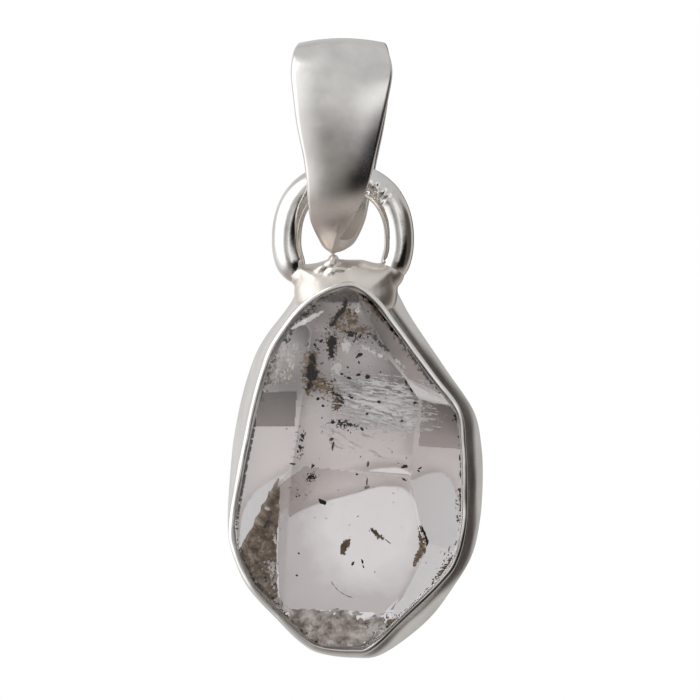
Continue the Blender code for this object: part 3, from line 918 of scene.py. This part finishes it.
    def trim(self, start, end, width, level, ragged=1.1, grain=2.6, depth=0.12):
        """A ragged line just inside the setting's rim, between two places of its outline."""
        seed = self.new_seed()
        step = 0.7
        inset = 1.6
        pixels_between = 45
        count = int((end - start) * pixels_between / step)
        line = []
        for k in range(count + 2):
            place = start + (end - start) * k / count
            here = curve_point(EDGE_OUTLINE, place)
            ahead = curve_point(EDGE_OUTLINE, place + 0.02)
            inward = Vector((here.y - ahead.y, ahead.x - here.x)).normalized()
            line.append((here / MM_PER_PIXEL, inward))

        def pixel(i, j):
            here, inward = line[i]
            at = here + (inset + j * step) * inward
            x = PHOTO_PIXELS / 2 - VIEW_CENTRE_X / MM / MM_PER_PIXEL + at.x
            return x, PHOTO_PIXELS / 2 + VIEW_CENTRE_Z / MM / MM_PER_PIXEL - at.y

        cells = set()
        for i in range(count):
            fade = min(1.0, 6 * min(i, count - i) / count)
            for j in range(int(width / step)):
                px, py = pixel(i, j)
                grainy = noise.fractal(Vector((px, py, seed)) / grain, 1.0, 2.0, 3)
                if fade * (1 - 0.8 * j * step / width) + ragged * grainy > level:
                    cells.add((i, j))
        self.sheet(cells, pixel, depth, 0.0, seed)

    def finish(self, name, material):
        """All the bodies and films as one piece of the pendant."""
        bm = bmesh.new()
        mesh = bpy.data.meshes.new(name)
        mesh.from_pydata(self.verts, [], self.faces)
        bm.from_mesh(mesh)
        bpy.data.meshes.remove(mesh)
        return add_piece(name, bm, material, "pendant", sharp=180)


def field_of(spot, px, py):
    """How deep a pixel lies in a spot: 1 in its middle, 0 on its edge, less outside."""
    if isinstance(spot, list):
        inside = False
        nearest = 1e9
        for k, (ax, ay) in enumerate(spot):
            bx, by = spot[k - 1]
            if (ay > py) != (by > py) and px < (bx - ax) * (py - ay) / (by - ay) + ax:
                inside = not inside
            length = (bx - ax) ** 2 + (by - ay) ** 2
            t = max(0.0, min(1.0, ((px - ax) * (bx - ax) + (py - ay) * (by - ay)) / length))
            nearest = min(nearest, sqrt((px - ax - t * (bx - ax)) ** 2 + (py - ay - t * (by - ay)) ** 2))
        return min(1.0, nearest / CORNER_FADE) * (1 if inside else -1)
    x, y, long, wide, turn = spot
    angle = radians(turn)
    along = (px - x) * cos(angle) - (py - y) * sin(angle)
    across = (px - x) * sin(angle) + (py - y) * cos(angle)
    return 1 - sqrt((along / long) ** 2 + (across / wide) ** 2)


def make_dark_grains_and_rim_shadow():
    """Black grains, most of them in a trail under the apex, and painted shadow: a dark ragged line inside
    the rim.
    """
    f = Inclusions(11)
    # The trail that starts under the apex
    f.film((345, 305, 6, 2.2, 85), (342, 312, 7, 2.8, 55), (337, 318, 7, 2.4, 60), (333, 325, 5, 2, 40),
           level=0.15)
    f.film((331.5, 343, 8, 4.6, 90), (331, 352, 8, 3, 95), level=0.15)
    f.film((313, 358, 6, 3.4, 90), (311.5, 368, 7, 4.6, 90), (312, 376, 9, 6.4, 70), (309, 385, 6, 3, 80),
           level=0.15)
    # Broken groups across the middle
    f.film((352, 335, 11, 2.6, -15), (375, 340, 8, 2, -40), (382, 347, 7, 2, -45), ragged=1.0, grain=2.0)
    f.film((338, 396, 9, 2.2, -30), (340, 403, 4, 5, 0), (350, 397, 6, 1.8, -40), ragged=1.0, grain=2.0)
    f.film((333, 422, 5, 2.4, 10), (343, 423.5, 8, 3.4, 0), (352, 425, 6, 2, -10), ragged=1.0, grain=1.8)
    # The flake and grains left of the middle
    f.flake([(318.5, 498), (322, 499), (327, 501.5), (326, 504), (321, 503.5), (318.5, 500.5)], 0.1)
    f.film((311, 477, 6.5, 5, 20), ragged=1.2, grain=1.6, level=0.4)
    f.film((302, 437, 4.5, 7, 0), (300, 452, 4, 8, 0), ragged=1.3, grain=1.7, level=0.6)
    # The flake at the lower right, and dark grains inside the edges, most of them painted shadow under the
    # rim
    f.flake([(418.5, 522), (423, 530), (427.5, 541), (425, 549), (424.5, 541), (421, 532)], 0.1, 0.02)
    f.film((456, 415, 6, 3, 60), (460, 424, 4, 2, 80), ragged=1.0, grain=1.8, level=0.3)
    f.film((248, 566, 7, 3, 60), (256, 587, 6, 2.6, 50), (268, 523, 6, 3, 60),
           ragged=1.2, grain=2.0, level=0.5)
    f.specks(
        0.2,
        (360, 355, 6, 4, 15), (357, 357, 4, 2, 40), (367.5, 377, 5, 4.5, 30), (358, 375, 5, 2.6, 10),
        (349, 378, 5, 2.6, -10), (342, 374, 3, 2, 0), (406, 383, 6, 1.6, -70), (411, 390, 6, 1.6, -55),
        (318, 399, 4, 3, 40), (323, 406, 3, 2.5, 0), (379, 402, 4, 2.6, -20), (367, 414, 3, 2, 0),
        (402, 421, 3, 2, 30), (415, 403, 4, 2.6, 0), (362, 429, 5, 2.6, -50), (332, 439, 4, 2.2, 0),
        (405, 466.5, 6, 3.6, 0), (402.5, 467.5, 3, 2, 20), (419, 468, 6, 1.8, 20), (417.5, 471, 4, 1.8, -30),
        (293, 464, 6, 1.6, -10), (313, 466, 4, 2.6, 30), (404, 479, 5, 2, -30), (357, 474, 2.5, 2, 0),
        (362.5, 561, 5, 2, -75), (363.5, 566, 4, 1.3, -75), (266, 577, 3, 3, 0), (273, 598, 4, 3, 0),
        (367, 630, 4, 4, 0), (299, 553, 2, 2, 0), (297, 575, 2.5, 2, 0), (398, 631, 5, 4, 30),
    )
    f.scatter(346, 335, 16, 12, 90, 0.5, 2.0)
    f.scatter(318, 345, 4, 7, 20, 0.8, 2.6)
    f.scatter(362, 378, 14, 6, 36, 0.5, 2.0)
    f.scatter(343, 424, 12, 5, 36, 0.5, 1.6)
    f.scatter(303, 490, 7, 5, 14, 0.5, 1.4)
    f.scatter(350, 455, 42, 60, 110, 0.4, 1.1)
    f.scatter(262, 560, 8, 20, 30, 0.8, 2.0, 0.2, 1.0)
    f.scatter(345, 632, 24, 9, 34, 0.6, 1.8)
    # Painted shadow: a dark ragged line just inside the rim, where the crystal meets the setting
    for start, end, width, level in (
        (0.35, 1.25, 3.0, 0.9), (1.2, 3.0, 8.0, 0.75), (3.0, 5.2, 3.0, 0.8), (5.2, 8.3, 3.4, 0.25),
        (8.6, 13.0, 3.6, 0.75), (15.0, 18.6, 2.8, 1.25), (18.6, 22.2, 1.8, 1.05), (22.2, 26.7, 3.2, 0.75),
    ):
        f.trim(start, end, width, level)
    f.finish("dark_grains_and_rim_shadow", inclusion_material(
        "dark_grain_and_shadow", 0.1 * MM, (0.003, 0.002, 0.002), (0.012, 0.008, 0.006), roughness=0.6, gloss=0.1))


def make_clay():
    """Brown clay and iron stain along cracks and under the edges."""
    f = Inclusions(23)
    # The brown triangle at the lower left
    f.film([
        (281.5, 476), (270, 497), (262, 513), (250, 536), (239, 556), (243, 570), (251, 586), (262, 600),
        (277, 612), (279, 600), (278, 560), (279, 530), (281.5, 505),
    ], depth=0.5, ragged=0.1, grain=3.0, level=0.03, wave=0.3)
    # Stain behind the black trail and beside it
    f.film((345, 307, 8, 3.6, 75), (341, 316, 10, 5.5, 55), (334, 324, 8, 6, 45),
           ragged=0.8, level=0.2, depth=0.32)
    f.film((332, 346, 13, 6.5, 92), ragged=0.8, level=0.2, depth=0.32)
    f.film((311, 367, 21, 8.5, 88), (311, 387, 9, 7, 60), ragged=0.8, level=0.2, depth=0.32)
    f.film((377, 309, 11, 6, -52), (384, 318, 8, 4, -60), ragged=0.8, grain=2.6)
    f.film((352, 321, 7, 9, 0), (345, 329, 9, 6, 0), (360, 331, 9, 4, 0), ragged=1.0, grain=2.6)
    f.film((324, 388, 15, 6, -20), (336, 404, 5, 9, 0), (322, 381, 6, 5, 0), ragged=1.0, grain=2.2)
    # Three flakes in the clear lower half
    f.flake([(350, 536), (350.5, 543), (345, 553), (340.5, 554.5), (340.5, 546)])
    f.flake([(369, 527), (376, 529), (384, 536), (385, 539), (378, 538), (371, 532)], level=0.02)
    f.flake([(418, 527), (424.5, 541), (424.5, 550), (418, 559), (413, 566), (414.5, 556), (420, 545)], 0.2)
    # Stain inside the edges
    f.film((446, 566, 15, 5, 45), (457, 545, 3.5, 13, 0), ragged=1.1, grain=2.2, level=0.35)
    f.film((390, 622, 12, 6, 35), (408, 610, 10, 4, 45), (425, 597, 12, 3, 45),
           ragged=1.1, grain=2.2, level=0.4)
    f.film((262, 398, 4, 14, 10), (268, 366, 4, 18, 12), ragged=1.2, grain=2.0, level=0.5)
    f.film((300, 318, 14, 5, 32), ragged=1.0, grain=2.4, level=0.3)
    f.specks(
        0.22,
        (388, 541, 9, 1.0, -38), (353, 563, 5, 2.4, 60), (367, 487, 6, 3, 20), (367, 481, 8, 1.6, 85),
        (368, 464, 6, 2.4, 80), (333, 446, 10, 2.2, 80), (333, 583, 6, 0.8, -60), (337, 588, 6, 0.8, -52),
        (343, 593, 7, 0.8, -35), (349, 596, 7, 0.8, -20), (331, 440, 4, 3, 0), (456, 420, 6, 3, 80),
    )
    f.scatter(350, 320, 12, 14, 60, 0.6, 2.4)
    f.scatter(337, 390, 14, 10, 60, 0.6, 2.2)
    f.scatter(275, 375, 9, 24, 34, 0.5, 2.0)
    f.scatter(300, 470, 8, 20, 30, 0.5, 1.6)
    f.scatter(340, 634, 26, 9, 60, 0.6, 2.4, 0.2, 1.0)
    f.scatter(447, 562, 9, 8, 26, 0.6, 2.0)
    for start, end, width, level in (
        (2.6, 5.6, 7.0, 0.85), (8.6, 13.2, 6.0, 0.8), (16.5, 18.6, 6.0, 1.05), (19.0, 20.0, 6.0, 0.95),
        (22.6, 26.0, 6.0, 0.85),
    ):
        f.trim(start, end, width, level, depth=0.16)
    f.finish("stain_brown", inclusion_material(
        "clay", 0.34 * MM,
        (0.07, 0.042, 0.02), (0.175, 0.118, 0.068), (0.25, 0.18, 0.12), (0.5, 0.4, 0.33)))


def make_chips():
    """Greyish broken stone along the lower end and mottling in the upper left face."""
    f = Inclusions(51)
    # The lower end, the upper left face and the brown triangle's right side
    f.film([
        (283, 607), (300, 606), (313, 610), (342, 612), (384, 618), (380, 628), (370, 641), (352, 651),
        (318, 650), (300, 640), (288, 625),
    ], depth=0.16, ragged=0.8, grain=5.0, level=0.02, stretch=1.6, turn=10.0, wave=0.2)
    f.film([(300, 334), (308, 334), (300, 388), (262, 390), (264, 370), (277, 348)], depth=0.4, ragged=1.1,
           grain=3.0, level=0.95, stretch=0.6)
    f.film([(268, 562), (278, 556), (279, 606), (272, 602)], depth=0.42, ragged=0.9, grain=3.0, level=0.2)
    f.finish("stone_chips", inclusion_material(
        "chips", 0.42 * MM, (0.26, 0.21, 0.18), (0.52, 0.47, 0.44), (0.74, 0.69, 0.66), (0.97, 0.95, 0.93)))


def make_veils_and_highlights():
    """Healed cracks: white feathery streaks across the middle and a few bright patches; with painted
    highlights: bright slivers along the upper edges and glints at the lower end and lower left.
    """
    f = Inclusions(37)
    # Streaks across the middle
    f.film((384, 404, 44, 24, -8), depth=0.35, ragged=1.4, grain=1.5, level=0.22,
           stretch=7.0, turn=-9.0, wave=0.2)
    f.film((385, 421, 36, 9, -10), depth=0.3, ragged=1.4, grain=3.0, level=0.45,
           stretch=6.0, turn=-12.0, wave=0.2)
    f.film((345, 440, 46, 14, -22), depth=0.5, ragged=1.5, grain=3.0, level=0.9,
           stretch=7.0, turn=-24.0, wave=0.3)
    # Painted highlights: bright slivers along the upper edges
    f.film([(405, 379), (430, 394), (457, 406.5), (436, 403.5), (418.5, 399)],
           depth=0.1, ragged=0.0, level=0.0, step=0.5)
    f.film([(288, 331), (300, 322), (312, 315), (324, 311), (320, 316), (308, 323), (296, 328)], depth=0.1,
           ragged=0.15, level=0.0, step=0.5)
    # Patches beside the trail, and painted highlights at the lower end
    f.film([(331, 362), (342, 361), (342, 376), (331, 377)], (346, 347, 5, 7, 0), (357, 313, 2.5, 2.5, 0),
           depth=0.4, ragged=0.6, level=0.15)
    f.film((331, 642, 5, 3, 0), (350, 645, 4, 2.4, 0), (310, 628, 4, 3, 30), (397, 626, 3, 3, 0),
           (385, 638, 3, 2, 0), depth=0.1, ragged=0.7, grain=2.0, level=0.2, step=0.5)
    # Painted glints at the lower left
    f.film((283, 517, 4, 2.4, 0), (268, 508, 2.4, 1.6, 0), (276, 540, 2.4, 8, 0),
           depth=0.3, ragged=1.0, grain=2.0, level=0.4)
    # Shallower streaks, a painted highlight at the lower end, and lines at the upper right
    f.film((376, 404, 36, 20, -8), depth=0.22, ragged=1.4, grain=1.8, level=0.42,
           stretch=7.0, turn=-12.0, wave=0.1)
    f.film((372, 628, 15, 7, 20), depth=0.12, ragged=1.2, grain=3.0, level=0.35)
    f.film((372, 352, 18, 3, -25), (398, 364, 8, 1.6, -40), depth=0.3, ragged=1.2, grain=2.2, level=0.5)
    f.scatter(280, 345, 8, 14, 26, 0.5, 1.6)
    f.scatter(300, 400, 26, 30, 30, 0.4, 1.4)
    f.scatter(365, 405, 24, 12, 60, 0.4, 1.6)
    # Painted glints along the lower end
    f.scatter(330, 638, 24, 8, 40, 0.6, 2.6, 0.1, 0.3)
    f.scatter(262, 550, 8, 22, 16, 0.5, 1.4, 0.2, 0.4)
    f.finish("veils_and_painted_highlights", inclusion_material(
        "veil_and_painted_highlight", 0.2 * MM, (0.9, 0.88, 0.87), (0.97, 0.965, 0.96), roughness=0.5))


def make_painted_shade():
    """Sheets of painted shade that darken single faces of the crystal."""
    f = Inclusions(5)
    plain = {"depth": 0.5, "ragged": 0.0, "level": 0.0, "step": 1.0}
    # Each sheet paints shade over one face of the crystal
    left_oblong = [(264, 393), (300, 392), (298, 427), (259, 427)]
    f.film(left_oblong, **plain)
    f.film(left_oblong, **{**plain, "depth": 0.62})
    f.film([(419, 399), (457, 409), (460, 449), (416, 446)], **plain)
    f.film([
        (370, 300), (398, 332), (425, 366), (455, 405), (430, 392), (405, 380), (385, 352), (368, 322),
    ], **plain)
    f.film([
        (304, 466), (345, 470), (408, 477), (413, 500), (424, 550), (400, 596), (384, 612), (342, 610),
        (281, 606), (279, 560), (280, 520), (281, 484),
    ], **plain)
    f.finish("painted_shade_zones", painted_shade_material())


make_camera()
make_world()
make_softbox("key", (-0.25, -0.2, 0.2), (0.0, 0.0, -0.012), (0.2, 0.25), 0.2)
make_floor()
set_picture()
make_bail()
make_ring()
make_wall()
make_frame()
make_neck()
make_crystal()
make_dark_grains_and_rim_shadow()
make_clay()
make_chips()
make_veils_and_highlights()
make_painted_shade()
